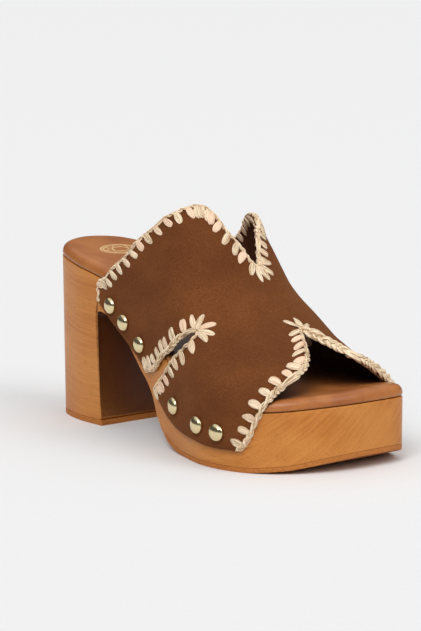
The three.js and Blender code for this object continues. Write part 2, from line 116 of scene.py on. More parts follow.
# Upper along the shoe. ridge: height above the wood; middle: sideways place of the ridge; low: lower edge;
# full: exponent of the arch on each side, where 2 is an ellipse and less is flatter; flare: share of the
# width by which the inner side, loose behind its slit, springs out
UPPER_LINE = table(
    "at ridge middle low full_outer full_inner flare",
    (0.2048, 1.72, 0.021, 0.87, 1.98, 2.2, 0), (0.2527, 1.61, 0.029, 0.846, 1.98, 2.2, 0),
    (0.2789, 1.55, 0.033, 0.805, 1.98, 2.2, 0.015), (0.3529, 1.38, 0.043, 0.749, 1.98, 2.2, 0.055),
    (0.427, 1.26, 0.05, 0.694, 1.98, 2.2, 0.07), (0.5098, 1.15, 0.056, 0.524, 1.98, 2.2, 0.02),
    (0.5752, 0.948, 0.065, 0.411, 1.98, 2.2, 0), (0.6318, 0.737, 0.07, 0.372, 1.98, 2.2, 0),
    (0.7059, 0.615, 0.053, 0.39, 1.98, 2.12, 0), (0.7843, 0.484, 0.033, 0.365, 1.93, 1.8, 0),
    (0.8584, 0.416, 0.039, 0.375, 1.8, 1.4, 0), (0.9368, 0.352, 0.045, 0.4, 1.65, 1.22, 0),
    (1, 0.292, 0.05, 0.41, 1.6, 1.2, 0),
)
FLARE_DROP = (0.3, 0.6, 0.68, 0.88)  # where the flare starts, is full, lessens and ends
# Edges of the upper. drop: share of the way from the ridge down to the lower edge
UPPER_EDGES = table(
    "drop rear_outer rear_inner front_outer front_inner",
    (0, 0.6316, 0.6316, 0.7897, 0.7897), (0.035, 0.6206, 0.6205, 0.8065, 0.803),
    (0.07, 0.5985, 0.6067, 0.827, 0.819), (0.11, 0.5815, 0.594, 0.8482, 0.8435),
    (0.16, 0.5485, 0.5785, 0.8715, 0.868), (0.21, 0.53, 0.565, 0.8897, 0.888),
    (0.27, 0.5162, 0.5496, 0.9057, 0.902), (0.34, 0.4975, 0.5261, 0.9167, 0.907),
    (0.42, 0.4709, 0.4933, 0.9192, 0.905), (0.5, 0.4433, 0.458, 0.9155, 0.902),
    (0.6, 0.3983, 0.418, 0.9076, 0.9005), (0.69, 0.3571, 0.372, 0.9016, 0.8985),
    (0.76, 0.3088, 0.316, 0.897, 0.896), (0.8, 0.2852, 0.29, 0.8935, 0.8925),
    (0.87, 0.254, 0.256, 0.88, 0.88), (0.94, 0.253, 0.254, 0.8657, 0.8657),
    (0.975, 0.253, 0.2535, 0.854, 0.854), (1, 0.253, 0.253, 0.842, 0.841),
)
SLIT_TIP = {"outer": 0.47, "inner": 0.58}
# Leaf-shaped slits. down: share of the way from the tip of the slit to the lower edge
SLITS = table(
    "down outer_rear outer_front inner_rear inner_front",
    (0, 0.662, 0.662, 0.6495, 0.6495), (0.05, 0.652, 0.6635, 0.636, 0.6535),
    (0.14, 0.635, 0.659, 0.616, 0.6485), (0.3, 0.611, 0.642, 0.585, 0.632),
    (0.5, 0.579, 0.61, 0.535, 0.604), (0.63, 0.541, 0.584, 0.505, 0.582),
    (0.85, 0.489, 0.53, 0.47, 0.53), (1, 0.446, 0.4965, 0.445, 0.4965),
)
# Dome nails on each side. high: share of the height of the wood top there
NAILS = {
    "rear_1": (0.3028, 0.896), "rear_2": (0.3595, 0.871), "rear_3": (0.4301, 0.843),
    "front_1": (0.61, 0.649), "front_2": (0.7264, 0.66), "front_3": (0.79, 0.63),
}


def line_through(rows, key, column):
    """A smooth line through one column of a table, without overshoot between its rows."""
    x, y = rows[key], rows[column]
    step = np.diff(x)
    slope = np.diff(y) / step
    before, after = slope[:-1], slope[1:]
    same_way = before * after > 0
    total = np.where(same_way, before + after, 1)
    tangent = np.concatenate([slope[:1], np.where(same_way, 2 * before * after / total, 0), slope[-1:]])

    def value(at):
        at = np.clip(at, x[0], x[-1])
        i = np.clip(np.searchsorted(x, at, side="right") - 1, 0, len(x) - 2)
        w = (at - x[i]) / step[i]
        bend, turn, rise = tangent[i] * step[i], tangent[i + 1] * step[i], y[i + 1] - y[i]
        return y[i] + w * (bend + w * (3 * rise - 2 * bend - turn + w * (bend + turn - 2 * rise)))

    return value


def x_at(share):
    return (share - HEEL_BACK_SHARE) * SOLE_LENGTH


def share_at(x):
    return x / SOLE_LENGTH + HEEL_BACK_SHARE


def unit(vectors):
    return vectors / np.maximum(np.linalg.norm(vectors, axis=-1, keepdims=True), 1e-12)


# Plan outline and the sides of the wood
OUTLINE_STEPS = 40


def closed_curve(points, steps):
    """Centripetal curve through a closed row of points."""
    w = (np.arange(steps) / steps)[:, None]
    parts = []
    for i in range(len(points)):
        p0, p1, p2, p3 = (points[(i + k) % len(points)] for k in (-1, 0, 1, 2))
        d0, d1, d2 = (np.linalg.norm(b - a) ** 0.5 for a, b in ((p0, p1), (p1, p2), (p2, p3)))
        leave = ((p1 - p0) / d0 - (p2 - p0) / (d0 + d1) + (p2 - p1) / d1) * d1
        reach = ((p2 - p1) / d1 - (p3 - p1) / (d1 + d2) + (p3 - p2) / d2) * d1
        bend = -3 * p1 + 3 * p2 - 2 * leave - reach
        parts.append(p1 + w * (leave + w * (bend + w * (2 * p1 - 2 * p2 + leave + reach))))
    return np.concatenate(parts)


outline = closed_curve(np.column_stack([x_at(PLAN["at"]), PLAN["across"] * BALL_WIDTH]), OUTLINE_STEPS)
ahead = np.roll(outline, -1, 0) - np.roll(outline, 1, 0)
outline_normal = unit(np.column_stack([ahead[:, 1], -ahead[:, 0]]))
back_i, toe_i = outline[:, 0].argmin(), outline[:, 0].argmax()
back_x, toe_x = outline[back_i, 0], outline[toe_i, 0]


def side_row(step):
    count = len(outline)
    row = (back_i + step * np.arange((toe_i - back_i) * step % count + 1)) % count
    return outline[row], outline_normal[row]


SIGN = {"outer": -1, "inner": 1}
SIDE_ROWS = {"outer": side_row(1), "inner": side_row(-1)}


def edge_y(x, side):
    row = SIDE_ROWS[side][0]
    return np.interp(x, row[:, 0], row[:, 1])


def edge_normal(x, side):
    row, normal = SIDE_ROWS[side]
    return unit(np.stack([np.interp(x, row[:, 0], normal[:, 0]), np.interp(x, row[:, 0], normal[:, 1])], -1))


SLOPE_SPAN = 0.002


def stood_off_y(x, side, off):
    slope = (edge_y(x + SLOPE_SPAN, side) - edge_y(x - SLOPE_SPAN, side)) / (2 * SLOPE_SPAN)
    return edge_y(x, side) + SIGN[side] * off * np.hypot(1, slope)


# Heights along the shoe
top_rise, top_spring = (line_through(TOP_LINE, "at", c) for c in ("rise", "spring"))
under_high, under_spring = (line_through(UNDER_LINE, "at", c) for c in ("high", "spring"))
upper_lines = {column: line_through(UPPER_LINE, "at", column) for column in UPPER_LINE if column != "at"}


def wood_top(x):
    at = share_at(x)
    return PLATFORM_HEIGHT + (HEEL_HEIGHT - PLATFORM_HEIGHT) * top_rise(at) + TOE_SPRING * top_spring(at)


def underside(x):
    at = share_at(x)
    return wood_top(x) * under_high(at) + TOE_SPRING * under_spring(at)


def above_wood(x, off):
    slope = (wood_top(x + SLOPE_SPAN) - wood_top(x - SLOPE_SPAN)) / (2 * SLOPE_SPAN)
    return wood_top(x) + off * np.hypot(1, slope)


# Building and finishing pieces
def linear(hex_colour):
    """A colour written in sRGB, as linear light."""
    parts = [int(hex_colour[i : i + 2], 16) / 255 for i in (1, 3, 5)]
    return (*(c / 12.92 if c <= 0.04045 else ((c + 0.055) / 1.055) ** 2.4 for c in parts), 1.0)


def add(tree, kind, settings=None, sockets=None):
    """Adds one node. A socket takes a value, another node's output, or a node, for its first output."""
    made = tree.nodes.new(kind)
    for name, value in (settings or {}).items():
        setattr(made, name, value)
    for name, value in (sockets or {}).items():
        if isinstance(value, bpy.types.Node):
            value = value.outputs[0]
        if isinstance(value, bpy.types.NodeSocket):
            tree.links.new(value, made.inputs[name])
        else:
            made.inputs[name].default_value = value
    return made


def finish(name, sockets):
    """An empty material with one shader: returns the material, its tree and the shader."""
    material = bpy.data.materials.new(name)
    material.use_nodes = True
    tree = material.node_tree
    tree.nodes.clear()
    shader = add(tree, "ShaderNodeBsdfPrincipled", sockets=sockets)
    add(tree, "ShaderNodeOutputMaterial", sockets={"Surface": shader.outputs["BSDF"]})
    return material, tree, shader


def stretched_noise(tree, size, rotation=(0, 0, 0), detail=3.0, roughness=0.55, source=None):
    """Noise whose spots have this size in metres along each axis."""
    source = source or add(tree, "ShaderNodeTexCoord").outputs["Object"]
    turned = add(
        tree, "ShaderNodeMapping", {"vector_type": "TEXTURE"}, {"Vector": source, "Rotation": rotation}
    )
    placed = add(tree, "ShaderNodeMapping", sockets={"Vector": turned, "Scale": [1 / s for s in size]})
    sockets = {"Vector": placed, "Scale": 1.0, "Detail": detail, "Roughness": roughness}
    return add(tree, "ShaderNodeTexNoise", sockets=sockets).outputs["Fac"]


SOFT_STEP = {"interpolation_type": "SMOOTHSTEP"}
COLOURS = {"data_type": "RGBA"}


def tinted(tree, base, tint, pattern, low, high, least=0.0, most=1.0):
    """A colour laid over another: by the least share where a pattern is low, by the most where it is high."""
    limits = {"Value": pattern, "From Min": low, "From Max": high, "To Min": least, "To Max": most}
    share = add(tree, "ShaderNodeMapRange", SOFT_STEP, limits)
    return add(tree, "ShaderNodeMix", COLOURS, {0: share, 6: base, 7: tint}).outputs[2]


def surface(tree, shader, colour, relief, strength, deep):
    """Gives a shader its colour, and a relief of this depth in metres."""
    tree.links.new(colour, shader.inputs["Base Color"])
    bump = add(tree, "ShaderNodeBump", sockets={"Height": relief, "Strength": strength, "Distance": deep})
    tree.links.new(bump.outputs[0], shader.inputs["Normal"])
    return bump


JOIN_WITHIN = 2e-6
NO_LENGTH = 1e-7


def piece(name, points, faces, material, replaces=(), sharp=None, joined=True):
    """A mesh that rides on the shoe: smooth shaded, its doubled points joined, its faces turned outwards."""
    mesh = bpy.data.meshes.new(name)
    mesh.from_pydata(np.asarray(points).tolist(), [], faces)
    shape = bmesh.new()
    shape.from_mesh(mesh)
    if joined:
        bmesh.ops.remove_doubles(shape, verts=shape.verts, dist=JOIN_WITHIN)
        bmesh.ops.dissolve_degenerate(shape, edges=shape.edges, dist=NO_LENGTH)
    bmesh.ops.recalc_face_normals(shape, faces=shape.faces)
    shape.to_mesh(mesh)
    shape.free()
    mesh.shade_smooth()
    if sharp is not None:
        mesh.set_sharp_from_angle(angle=math.radians(sharp))
    mesh.materials.append(material)
    made = bpy.data.objects.new(name, mesh)
    bpy.context.scene.collection.objects.link(made)
    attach(made, "root")
    if replaces:
        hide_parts(*replaces)
    return made


def grid_faces(rows, columns, first=0):
    """Quads between neighbouring rows of a grid."""
    i = np.arange(rows * columns).reshape(rows, columns) + first
    return np.stack([i[:-1, :-1], i[:-1, 1:], i[1:, 1:], i[1:, :-1]], -1).reshape(-1, 4).tolist()


def tube_faces(rings, sides):
    """Quads between neighbouring rings of points."""
    i = np.arange(rings * sides).reshape(rings, sides)
    on = np.roll(i, -1, 1)
    return np.stack([i[:-1], on[:-1], on[1:], i[1:]], -1).reshape(-1, 4).tolist()


# Materials
SHADE_SAMPLES = 8


def lacquered_wood():
    """Light hardwood, sawn and sanded, stained honey and sprayed with satin lacquer: growth rings run along
    the shoe as long stripes and come out at the toe as slanting ones, with fine dark pores."""
    gloss = {"Roughness": 0.42, "Specular IOR Level": 0.25, "Coat Weight": 0.1, "Coat Roughness": 0.16}
    material, tree, shader = finish("lacquered_honey_wood", gloss)
    ring_tilt = (math.radians(45), 0, 0)
    ring_size = (0.06, 0.02, 0.0013)  # a growth ring every 1.3 mm, straight over about 60 mm
    pore_size = (0.006, 0.0009, 0.0005)  # pores 6 mm long, drawn 0.5 mm wide so that they show
    cloud_size = (0.06, 0.02, 0.02)
    rings = stretched_noise(tree, ring_size, ring_tilt, detail=3.0, roughness=0.62)
    pores = stretched_noise(tree, pore_size, ring_tilt, detail=2.0)
    clouds = stretched_noise(tree, cloud_size, detail=1.0)
    # Painted shade in hollows: openness is 1 on a free face, and less where other wood is near, and there the
    # colour is drawn darker
    alone = {"samples": SHADE_SAMPLES, "only_local": True}
    openness = add(tree, "ShaderNodeAmbientOcclusion", alone, {"Distance": HOLLOW_REACH}).outputs["AO"]
    base = tinted(tree, linear("#B06824"), linear("#C67F38"), rings, 0.25, 0.75)
    base = tinted(tree, base, linear("#CD8A42"), clouds, 0.38, 0.66, 0.0, 0.5)
    base = tinted(tree, base, linear("#8C4E15"), pores, 0.54, 0.74, 0.0, 0.45)
    # painted shade: dark brown where little light would reach
    base = tinted(tree, base, linear("#4B1D00"), openness, 0.7, 0.93, 0.95, 0.0)
    surface(tree, shader, base, pores, 0.12, 0.00015)
    return material


def heel_rubber():
    """Moulded and sanded rubber sheet in the colour of the wood: dull, with a fine speckle."""
    material, tree, shader = finish("honey_rubber", {"Roughness": 0.62})
    speckle = stretched_noise(tree, (0.0011, 0.0011, 0.0011))
    base = tinted(tree, linear("#A65F1E"), linear("#BC752B"), speckle, 0.3, 0.7)
    surface(tree, shader, base, speckle, 0.2, 0.0002)
    return material


# Ornament on the heel seat: an oval with a flower inside
ORNAMENT_PLACE = (0.0075, 0.0, 0.0)
ORNAMENT_HALF = (0.0085, 0.0125)  # along and across the insole
ORNAMENT_LINE = 0.0009
ORNAMENT_EDGE = (0.35, 0.65)  # shares of the line's width between which its edge fades
ORNAMENT_RINGS = (1.0, 0.86, 0.42)  # shares of the half size
ORNAMENT_PETALS = 8.0
PETAL_RING = 0.64
PETAL_WAVE = 0.1
NO_HEIGHT = 1000.0  # so wide a scale that height counts for nothing


def foil_ornament(tree):
    """Where the foil lies: plain rings and one that waves in and out as eight petals."""
    place = {
        "Vector": add(tree, "ShaderNodeTexCoord").outputs["Object"],
        "Location": ORNAMENT_PLACE, "Scale": (*ORNAMENT_HALF, NO_HEIGHT),
    }
    flat = add(tree, "ShaderNodeMapping", {"vector_type": "TEXTURE"}, place)
    away = add(tree, "ShaderNodeVectorMath", {"operation": "LENGTH"}, {0: flat}).outputs["Value"]
    along, across, _ = add(tree, "ShaderNodeSeparateXYZ", sockets={0: flat}).outputs
    turn = add(tree, "ShaderNodeMath", {"operation": "ARCTAN2"}, {0: across, 1: along})
    turns = add(tree, "ShaderNodeMath", {"operation": "MULTIPLY"}, {0: turn, 1: ORNAMENT_PETALS})
    wave = add(tree, "ShaderNodeMath", {"operation": "COSINE"}, {0: turns})
    waved = {0: wave, 1: PETAL_WAVE, 2: PETAL_RING}
    petals = add(tree, "ShaderNodeMath", {"operation": "MULTIPLY_ADD"}, waved)
    inner_edge, outer_edge = (ORNAMENT_LINE / ORNAMENT_HALF[0] * share for share in ORNAMENT_EDGE)
    foil = 0.0
    for ring in (*ORNAMENT_RINGS, petals):
        off = add(tree, "ShaderNodeMath", {"operation": "SUBTRACT"}, {0: away, 1: ring})
        gap = add(tree, "ShaderNodeMath", {"operation": "ABSOLUTE"}, {0: off})
        limits = {"Value": gap, "From Min": inner_edge, "From Max": outer_edge, "To Min": 1.0, "To Max": 0.0}
        line = add(tree, "ShaderNodeMapRange", SOFT_STEP, limits)
        foil = add(tree, "ShaderNodeMath", {"operation": "MAXIMUM"}, {0: foil, 1: line})
    return foil


def insole_leather():
    """Smooth calf leather, dyed through and lightly glazed over foam: soft gloss, fine pores and a cloudy
    tone, with a plain ornament stamped in matt gold foil."""
    material, tree, shader = finish("glazed_calf_leather", {"Roughness": 0.34, "Specular IOR Level": 0.35})
    clouds = stretched_noise(tree, (0.03, 0.02, 0.02), detail=2.0)
    pores = stretched_noise(tree, (0.0009, 0.0009, 0.0009), detail=3.0)  # pores of 0.3 mm, drawn at 0.9 mm
    # Painted shade: the leather is drawn darker where the upper is near
    shade = {"samples": SHADE_SAMPLES}
    openness = add(tree, "ShaderNodeAmbientOcclusion", shade, {"Distance": SHADE_REACH}).outputs["AO"]
    base = tinted(tree, linear("#9C5B2D"), linear("#B5723C"), clouds, 0.3, 0.7)
    base = tinted(tree, base, linear("#8A5026"), pores, 0.35, 0.7, 0.0, 0.25)
    # painted shade: near black brown where little light would reach
    base = tinted(tree, base, linear("#32170A"), openness, 0.36, 0.62, 0.92, 0.0)
    foil = foil_ornament(tree)
    base = add(tree, "ShaderNodeMix", COLOURS, {0: foil, 6: base, 7: linear("#D9B27C")}).outputs[2]
    grain = surface(tree, shader, base, pores, 0.16, 0.0002)
    stamp = {"Height": foil, "Strength": 0.5, "Distance": -0.0003, "Normal": grain}
    tree.links.new(add(tree, "ShaderNodeBump", sockets=stamp).outputs[0], shader.inputs["Normal"])
    return material


def split_suede():
    """Suede, buffed to a short nap: no gloss, a soft bloom at grazing angles, and cloudy patches where the
    nap lies another way."""
    bloom = {"Sheen Weight": 0.12, "Sheen Roughness": 0.5, "Sheen Tint": linear("#D99A66")}
    material, tree, shader = finish("buffed_suede", {"Roughness": 0.95, "Specular IOR Level": 0.12, **bloom})
    patches = stretched_noise(tree, (0.035, 0.03, 0.022), detail=3.0)
    nap_size = (0.0012, 0.0012, 0.0007)  # nap of 0.3 mm, drawn coarser so that it shows
    nap = stretched_noise(tree, nap_size, detail=4.0, roughness=0.7)
    base = tinted(tree, linear("#683A1D"), linear("#774523"), patches, 0.3, 0.72)
    base = tinted(tree, base, linear("#4E2A14"), nap, 0.38, 0.66, 0.0, 0.5)
    surface(tree, shader, base, nap, 0.5, 0.0003)
    return material


def suede_back():
    """The flesh side of the suede, unbuffed: coarser and without bloom, and drawn darker as painted shade for
    the inside of the shoe.
    """
    material, tree, shader = finish("suede_flesh_side", {"Roughness": 1.0, "Specular IOR Level": 0.1})
    fibres = stretched_noise(tree, (0.0016, 0.0016, 0.0016), detail=4.0, roughness=0.7)
    # painted shade: browns darker than the suede's face
    base = tinted(tree, linear("#371D10"), linear("#52301C"), fibres, 0.3, 0.7)
    surface(tree, shader, base, fibres, 0.4, 0.0003)
    return material


def dried_raffia():
    """Raffia, split palm leaf dried and drawn into soft strands: satin, straw to cream, streaked along each
    strand by its fibres, with a rosy tint on some."""
    material, tree, shader = finish("dried_raffia", {"Roughness": 0.5, "Specular IOR Level": 0.4})
    run = add(tree, "ShaderNodeAttribute", {"attribute_name": "run"})
    fibre_size = (0.009, 0.0004, 1.0)  # fibres of 0.2 mm, drawn 0.4 mm wide, streaks 9 mm long
    fibres = stretched_noise(tree, fibre_size, detail=2.0, source=run.outputs["Vector"])
    tone = add(tree, "ShaderNodeAttribute", {"attribute_name": "tone"}).outputs["Fac"]
    base = tinted(tree, linear("#A1773F"), linear("#FDE9C9"), fibres, 0.34, 0.58)
    base = tinted(tree, base, linear("#F8CFB2"), tone, 0.35, 1.0, 0.0, 0.6)
    surface(tree, shader, base, fibres, 0.5, 0.0003)
    return material


def polished_brass():
    """Brass, pressed and polished: clear yellow-gold reflections, very slightly brushed by wear."""
    material, tree, shader = finish("polished_brass", {"Metallic": 1.0, "Base Color": linear("#E4D3A6")})
    wear = stretched_noise(tree, (0.002, 0.002, 0.002))
    limits = {"Value": wear, "From Min": 0.3, "From Max": 0.7, "To Min": 0.14, "To Max": 0.24}
    roughness = add(tree, "ShaderNodeMapRange", SOFT_STEP, limits)
    tree.links.new(roughness.outputs[0], shader.inputs["Roughness"])
    return material


WOOD = lacquered_wood()
RUBBER = heel_rubber()
CALF = insole_leather()
SUEDE = split_suede()
FLESH_SIDE = suede_back()
RAFFIA = dried_raffia()
BRASS = polished_brass()


# Wood, outsole and top piece: rings of the outline between a lower and an upper line
def line_normal(x, z, down):
    """Direction out of the body at each place of a line in side view."""
    dx, dz = np.gradient(x), np.gradient(z)
    return unit(np.stack([dz, -dx], -1)) * (1 if down else -1)


def outline_ring(x, z, inset):
    """Outer side from the back to the toe, then the inner side back again, drawn in by an inset."""
    sides = []
    for side in ("outer", "inner"):
        place = np.stack([x, edge_y(x, side)], -1) - edge_normal(x, side) * inset
        sides.append(np.column_stack([place, z]))
    return np.concatenate([sides[0], sides[1][::-1]])


def raked(points):
    """The back of the heel comes in towards the ground."""
    low = 1 - points[:, 2] / HEEL_HEIGHT
    points[:, 0] += np.maximum(0, -points[:, 0]) / -back_x * HEEL_RAKE * low
    return points


def ring_body(rings):
    """Faces of a body that is closed by strips across its first and last ring."""
    count = len(rings[0])
    half = count // 2
    faces = tube_faces(len(rings), count)
    for first in (0, (len(rings) - 1) * count):
        faces += [
            (first + i, first + i + 1, first + count - 2 - i, first + count - 1 - i) for i in range(half - 1)
        ]
    return np.concatenate(rings), faces


RIM_TURNS = np.linspace(0, math.pi / 2, 5)


def slab(low, high, low_round, high_round, rows):
    """Body between two lines of equal length, its rims rounded."""
    low, high = np.column_stack(low), np.column_stack(high)
    into_low, into_high = -line_normal(*low.T, True), -line_normal(*high.T, False)

    def rim(line, into, radius, turns):
        """Rings of a rounded rim."""
        places = [(line + into * radius * (1 - math.cos(turn))).T for turn in turns]
        return [outline_ring(*place, radius * (1 - math.sin(turn))) for place, turn in zip(places, turns)]

    start, end = low + into_low * low_round, high + into_high * high_round
    shares = np.linspace(0, 1, rows + 1)[1:-1]
    rings = rim(low, into_low, low_round, RIM_TURNS)
    rings += [outline_ring(*(start * (1 - w) + end * w).T, 0) for w in shares]
    rings += rim(high, into_high, high_round, RIM_TURNS[::-1])
    points, faces = ring_body(rings)
    return raked(points), faces


def close_at(from_x, to_x, count, ends=(True, True)):
    """Places along the shoe, closer together at the ends that are rounded in plan."""
    share = np.linspace(0, 1, count)
    if ends == (True, True):
        share = (1 - np.cos(math.pi * share)) / 2
    elif ends[0]:
        share = 1 - np.cos(math.pi / 2 * share)
    elif ends[1]:
        share = np.sin(math.pi / 2 * share)
    return from_x + (to_x - from_x) * share


def rounded_corner(before, corner, after, radius, steps):
    """Points of a round corner between two straight runs in side view."""
    corner = np.array(corner)
    into, out = unit(np.array(before) - corner), unit(np.array(after) - corner)
    half = math.acos(np.clip(into @ out, -1, 1)) / 2
    middle = corner + unit(into + out) * radius / math.sin(half)
    start = corner + into * radius / math.tan(half) - middle
    end = corner + out * radius / math.tan(half) - middle
    w = np.linspace(0, 1, steps)[:, None]
    return middle + unit(start * (1 - w) + end * w) * radius


heel_front = back_x + HEEL_RAKE + HEEL_FOOT_LENGTH
outsole_start = x_at(OUTSOLE_START_SHARE)
breast_top = float(underside(heel_front - BREAST_LEAN))
heel_bottom = TOP_PIECE_THICKNESS + SEAM


def breast_x(z):
    return heel_front - BREAST_LEAN * z / breast_top


BEFORE_CORNER = 0.003  # how far from the corners of the breast the flat of the heel and the arch begin
PAST_CORNER = 0.006
REBATE_LENGTH = 0.0001  # the step up to the rebate is almost upright
SHARP_ANGLE = 40  # degrees from which an edge of wood or rubber shows as an edge
# How finely each run is drawn
HEEL_COLUMNS = 46
FOOT_STEPS = 7
BREAST_STEPS = 14
HOLLOW_STEPS = 12
ARCH_COLUMNS = 110
FORE_COLUMNS = 120
WOOD_ROWS = 9
RUBBER_COLUMNS = 130
TOP_PIECE_COLUMNS = 60
RUBBER_ROWS = 2
INSOLE_COLUMNS = 200


def make_wood():
    rebate = OUTSOLE_THICKNESS + SEAM
    heel_x = close_at(back_x, breast_x(heel_bottom) - BEFORE_CORNER, HEEL_COLUMNS, (True, False))
    heel = np.column_stack([heel_x, np.full_like(heel_x, heel_bottom)])
    foot_corner = (breast_x(heel_bottom), heel_bottom)
    arch_corner = (breast_x(breast_top), breast_top)
    arch_on = arch_corner[0] + PAST_CORNER
    arch_start = (arch_on, float(underside(arch_on)))
    foot = rounded_corner(heel[-1], foot_corner, arch_corner, BREAST_FOOT_ROUND, FOOT_STEPS)
    hollow = rounded_corner(foot_corner, arch_corner, arch_start, BREAST_FILLET, HOLLOW_STEPS)
    breast = np.linspace(foot[-1], hollow[0], BREAST_STEPS)[1:-1]
    arch_x = np.linspace(arch_on, outsole_start - FIT_GAP, ARCH_COLUMNS)
    arch = np.column_stack([arch_x, underside(arch_x)])
    fore_x = close_at(outsole_start - FIT_GAP + REBATE_LENGTH, toe_x, FORE_COLUMNS, (False, True))
    fore = np.column_stack([fore_x, underside(fore_x) + rebate])
    low = np.concatenate([heel, foot, breast, hollow, arch, fore])
    high_x = np.sort(low[:, 0])
    points, faces = slab(low.T, (high_x, wood_top(high_x)), WOOD_LOW_ROUND, WOOD_HIGH_ROUND, WOOD_ROWS)
    made = piece("wood_body", points, faces, WOOD, ["wood_sole"], sharp=SHARP_ANGLE)
    even = made.modifiers.new("even_normals", "WEIGHTED_NORMAL")
    even.keep_sharp = True


def make_rubber():
    x = close_at(outsole_start, toe_x, RUBBER_COLUMNS, (False, True))
    low = underside(x)
    points, faces = slab((x, low), (x, low + OUTSOLE_THICKNESS), RUBBER_ROUND, RUBBER_ROUND, RUBBER_ROWS)
    piece("outsole_sheet", points, faces, RUBBER, ["forefoot_outsole"], sharp=SHARP_ANGLE)
    x = close_at(back_x, breast_x(TOP_PIECE_THICKNESS / 2), TOP_PIECE_COLUMNS, (True, False))
    low = np.zeros_like(x)
    points, faces = slab((x, low), (x, low + TOP_PIECE_THICKNESS), RUBBER_ROUND, RUBBER_ROUND, RUBBER_ROWS)
    piece("heel_rubber", points, faces, RUBBER, ["heel_top_piece"], sharp=SHARP_ANGLE)


TUCK_SHARE = 0.3  # the lower rim is tucked in, in two short steps
ROLL_STEPS = 12
LID_ROWS = 28


def make_insole():
    """Padded, its edge rolled over, and slightly crowned."""
    x = close_at(back_x, toe_x, INSOLE_COLUMNS)
    tucked = INSOLE_FOOT_ROUND * TUCK_SHARE
    lifts = [(INSOLE_FOOT_ROUND, 0.0), (tucked, tucked)]
    for turn in np.linspace(0, math.pi / 2, ROLL_STEPS):
        rise = (INSOLE_THICKNESS - INSOLE_FOOT_ROUND) * math.sin(turn)
        lifts.append((INSOLE_ROLL * (1 - math.cos(turn)), INSOLE_FOOT_ROUND + rise))
    rings = []
    for inset, height in lifts:
        ring = outline_ring(x, x, inset)
        ring[:, 2] = above_wood(ring[:, 0], FIT_GAP + height)
        rings.append(ring)
    points, faces = ring_body(rings)
    half = len(x)
    faces = faces[: -(half - 1)]
    outer, inner = rings[-1][:half], rings[-1][::-1][:half]
    w = (1 - np.cos(math.pi * np.linspace(0, 1, LID_ROWS + 1)))[:, None, None] / 2
    top = outer * (1 - w) + inner * w
    wide = np.linalg.norm(outer - inner, axis=1)
    fade = np.minimum(wide / wide.max() * 2, 1)  # no crown where the insole closes in plan
    top[:, :, 2] += INSOLE_CROWN * 4 * (w * (1 - w))[:, :, 0] * fade
    faces += grid_faces(LID_ROWS + 1, half, len(points))
    points = np.concatenate([points, top.reshape(-1, 3)])
    pad = piece("insole_pad", points, faces, CALF, ["insole"])


# Upper
def step_up(value, low, high):
    w = np.clip((value - low) / (high - low), 0, 1)
    return w * w * (3 - 2 * w)


def upper_face(x, turn):
    """Outer face of the upper. turn runs from -1 at the outer lower edge over 0 at the ridge to 1."""
    x, turn = np.broadcast_arrays(np.asarray(x, float), np.asarray(turn, float))
    drop, outer, at = np.abs(turn), turn < 0, share_at(x)
    off = FIT_GAP + UPPER_WALL
    wall_y = np.where(outer, stood_off_y(x, "outer", off), stood_off_y(x, "inner", off))
    full = np.where(outer, upper_lines["full_outer"](at), upper_lines["full_inner"](at))
    middle = upper_lines["middle"](at) * BALL_WIDTH
    spring = wood_top(x) + SPRING_RISE
    ridge = wood_top(x) + INSTEP_RISE * upper_lines["ridge"](at)
    bend = (1 - np.minimum(drop, WALL_START) / WALL_START) * math.pi / 2
    out = np.maximum(np.cos(bend), 0) ** (2 / full)
    up = np.sin(bend) ** (2 / full)
    down = np.maximum(drop - WALL_START, 0) / (1 - WALL_START)
    low = wood_top(x) * upper_lines["low"](at)
    upright = drop >= WALL_START
    start, full_from, full_to, end = FLARE_DROP
    flared = step_up(drop, start, full_from) * (1 - step_up(drop, full_to, end))
    flare = np.where(outer, 0, upper_lines["flare"](at) * BALL_WIDTH * flared)
    y = np.where(upright, wall_y, middle + (wall_y - middle) * out) + flare
    z = np.where(upright, spring + (low - spring) * down, spring + (ridge - spring) * up)
    return np.stack([x, y, z], -1)


PROBE_X = 0.0005
PROBE_TURN = 0.01


def upper_normal(x, turn):
    along_x = upper_face(x + PROBE_X, turn) - upper_face(x - PROBE_X, turn)
    high, low = np.minimum(turn + PROBE_TURN, 1), np.maximum(turn - PROBE_TURN, -1)
    return unit(np.cross(along_x, upper_face(x, high) - upper_face(x, low)))


def nail_seat(name, side):
    """Where a nail's dome sits, and which way it faces."""
    at, high = NAILS[name]
    x = x_at(at)
    normal = edge_normal(x, side)
    outward = np.array([normal[0], normal[1], 0.0])
    seat = np.array([x, edge_y(x, side), wood_top(x) * high]) + outward * (FIT_GAP + UPPER_WALL)
    return seat, outward


def relief(points):
    """How far the suede stands in or out of its plain form: dimples round the nails."""
    rise = np.zeros(points.shape[:-1])
    for side in SIGN:
        for name in NAILS:
            seat, _ = nail_seat(name, side)
            away = np.linalg.norm(points - seat, axis=-1)
            rise -= DIMPLE_DEPTH * np.exp(-((away / DIMPLE_REACH) ** 2) * 2)
    return rise


edge_lines = {c: line_through(UPPER_EDGES, "drop", c) for c in UPPER_EDGES if c != "drop"}
slit_lines = {c: line_through(SLITS, "down", c) for c in SLITS if c != "down"}
ROWS_ABOVE = 50
ROWS_BELOW = 46
ROWS_CLOSER = 1.4  # the rows below the tip of a slit lie closer together near it
REAR_COLUMNS = 54
FRONT_COLUMNS = 60
RIM_PROFILE = ((0.15, 0.7), (0.5, 1.0), (0.85, 0.7))  # shares of the wall and of the bulge, across a cut edge


